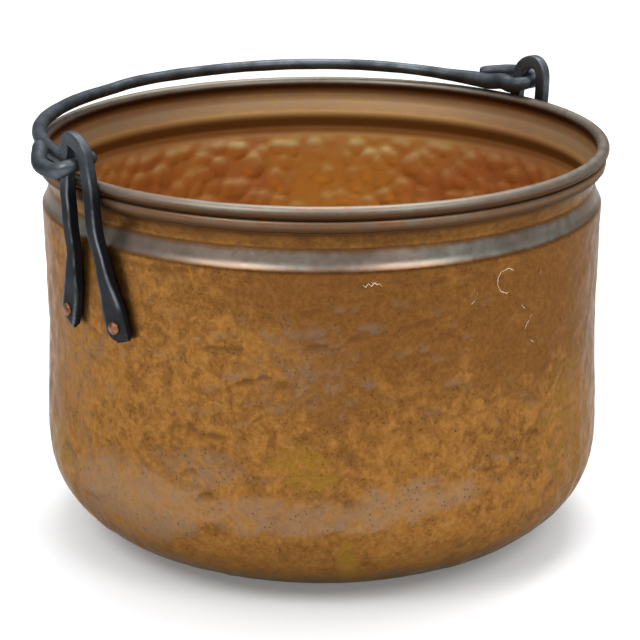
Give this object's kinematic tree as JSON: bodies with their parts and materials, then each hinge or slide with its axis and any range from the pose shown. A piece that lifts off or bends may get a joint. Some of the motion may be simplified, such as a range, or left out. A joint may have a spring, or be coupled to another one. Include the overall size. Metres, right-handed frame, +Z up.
{
  "type": "copper kettle with iron bail",
  "caption": "Round copper cauldron with a rolled rim, two riveted iron brackets and a swinging iron bail handle.",
  "frame": {"origin": "centre of the flat base, on the surface the kettle stands on", "axes": "+Z up; X runs from bracket to bracket, parallel to the bail's axis; the resting bail lies towards +Y"},
  "size_m": [0.4378, 0.3998, 0.3121],
  "materials": {
    "copper": null,
    "rivet_copper": null,
    "iron": null
  },
  "bodies": {
    "kettle": {"kettle_body": "copper", "rim_wire": "iron", "left_bracket": "iron", "right_bracket": "iron", "left_rivet_1": "rivet_copper", "left_rivet_2": "rivet_copper", "right_rivet_1": "rivet_copper", "right_rivet_2": "rivet_copper"},
    "bail": {"bail_handle": "iron"}
  },
  "joints": [
    {"name": "bail_swing", "type": "hinge", "parent": "kettle", "child": "bail", "pos_m": [0, 0, 0.291], "axis": [1, 0, 0], "range_deg": [0, 181]}
  ]
}
